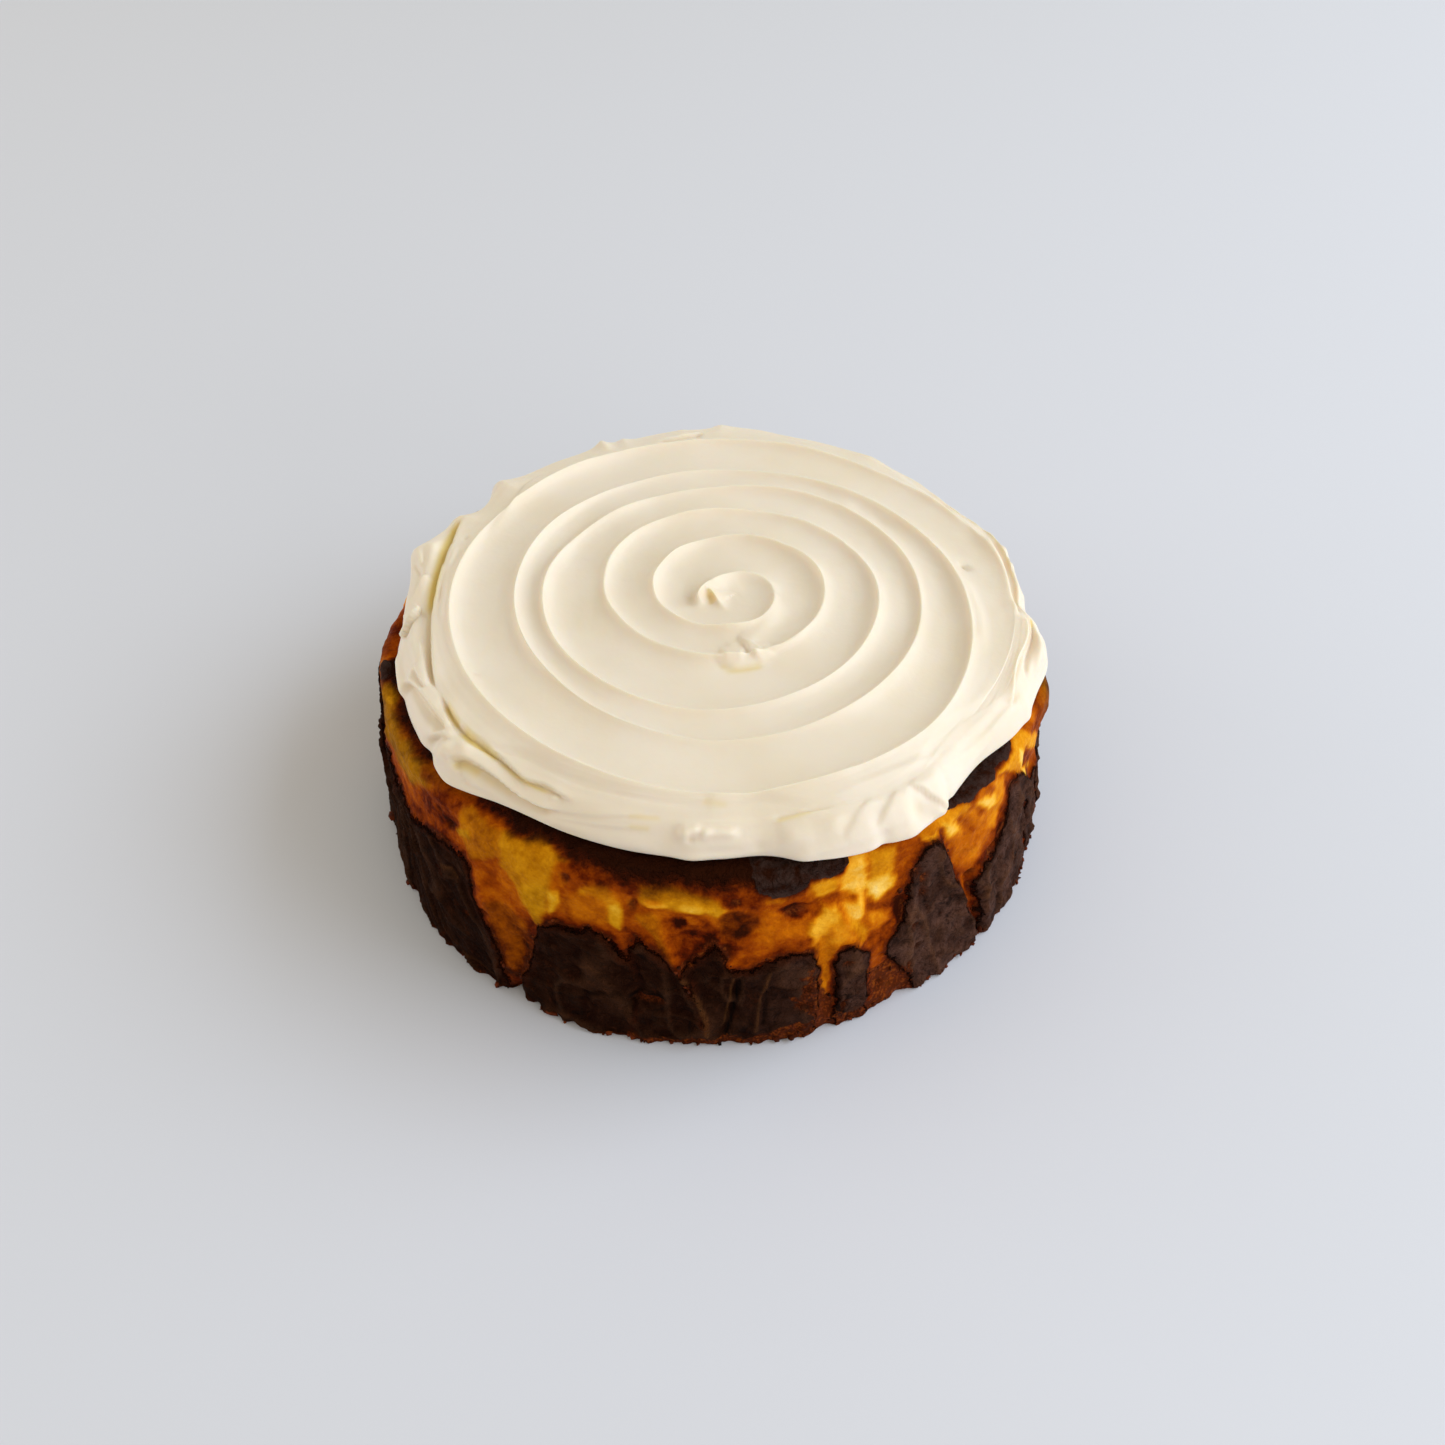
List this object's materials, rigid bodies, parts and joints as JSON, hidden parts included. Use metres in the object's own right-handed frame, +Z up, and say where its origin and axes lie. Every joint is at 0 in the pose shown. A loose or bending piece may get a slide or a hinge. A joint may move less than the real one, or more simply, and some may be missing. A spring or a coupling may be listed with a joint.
{
  "type": "basque cheesecake",
  "caption": "Whole round burnt cheesecake with a creased, torn dark crust and a thick round of cream spread in a spiral on top",
  "frame": {"origin": "on the surface the cake stands on, under the middle of the cake's outline", "axes": "+Z up through the middle of the round cake; -Y is the front, the side the picture shows; +X to the right seen from the front"},
  "size_m": [0.1954, 0.1956, 0.0769],
  "materials": {
    "crust": "baked crust: dark brown leathery skin with golden torn places and a burnt top edge",
    "cream": "soft whipped cream with a faint sheen"
  },
  "bodies": {
    "root": {"cake": "crust", "cream": "cream"}
  },
  "joints": []
}
